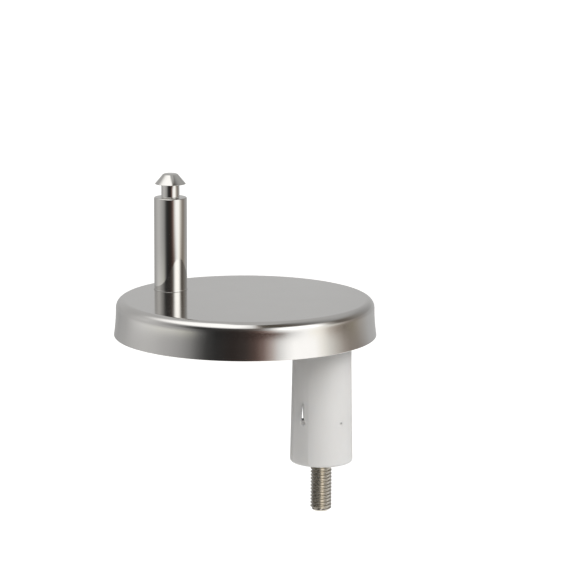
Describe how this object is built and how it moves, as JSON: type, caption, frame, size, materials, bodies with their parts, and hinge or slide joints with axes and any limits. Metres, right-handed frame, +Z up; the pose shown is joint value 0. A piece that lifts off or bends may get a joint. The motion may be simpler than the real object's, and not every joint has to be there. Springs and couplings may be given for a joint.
{
  "type": "toilet seat hinge",
  "caption": "Top-fix toilet seat hinge: upright grooved seat pin on an eccentric round disc under a pressed cover cap, with an expanding plug and screw below.",
  "frame": {"origin": "on the axis of the plug and its fixing screw, at the seating plane (underside of the base gasket)", "axes": "+Z up along the plug and the seat pin, +X from the seat pin towards the plug; Y is across, the hinge is symmetric about the XZ plane but for the turn of the sleeve's slits"},
  "size_m": [0.06, 0.06, 0.0742],
  "materials": {
    "polished_steel": "polished turned stainless steel",
    "polished_cap": "polished pressed stainless sheet, finely brushed",
    "zinc_casting": "as-cast zinc alloy, tumbled",
    "soft_pad": "matt elastomer",
    "screw_steel": "plain stainless fastener steel",
    "white_plug": "milky soft moulded plastic"
  },
  "bodies": {
    "plug": {"expansion_sleeve": "white_plug"},
    "screw": {"fixing_screw": "screw_steel"},
    "nut": {"captive_nut": "screw_steel"},
    "foot": {"base_disc": "zinc_casting", "base_gasket": "soft_pad", "hinge_pin": "polished_steel", "pin_screw": "screw_steel", "screw_washer": "screw_steel"},
    "cap": {"cover_cap": "polished_cap"}
  },
  "joints": [
    {"name": "foot_swivel", "type": "hinge", "parent": "plug", "child": "foot", "pos_m": [0, 0, 0.003], "axis": [0, 0, 1], "continuous": true},
    {"name": "cap_lift", "type": "slide", "parent": "foot", "child": "cap", "axis": [0, 0, 1], "range_m": [0, 0.021]},
    {"name": "screw_turn", "type": "hinge", "parent": "plug", "child": "screw", "pos_m": [0, 0, 0.005], "axis": [0, 0, -1], "range_deg": [0, 1800]},
    {"name": "nut_rise", "type": "slide", "parent": "plug", "child": "nut", "axis": [0, 0, 1], "range_m": [0, 0.004], "deforming": ["expansion_sleeve"]}
  ],
  "couplings": [
    {"joint": "screw_turn", "follows": "nut_rise", "rad_per_m": 7854}
  ]
}
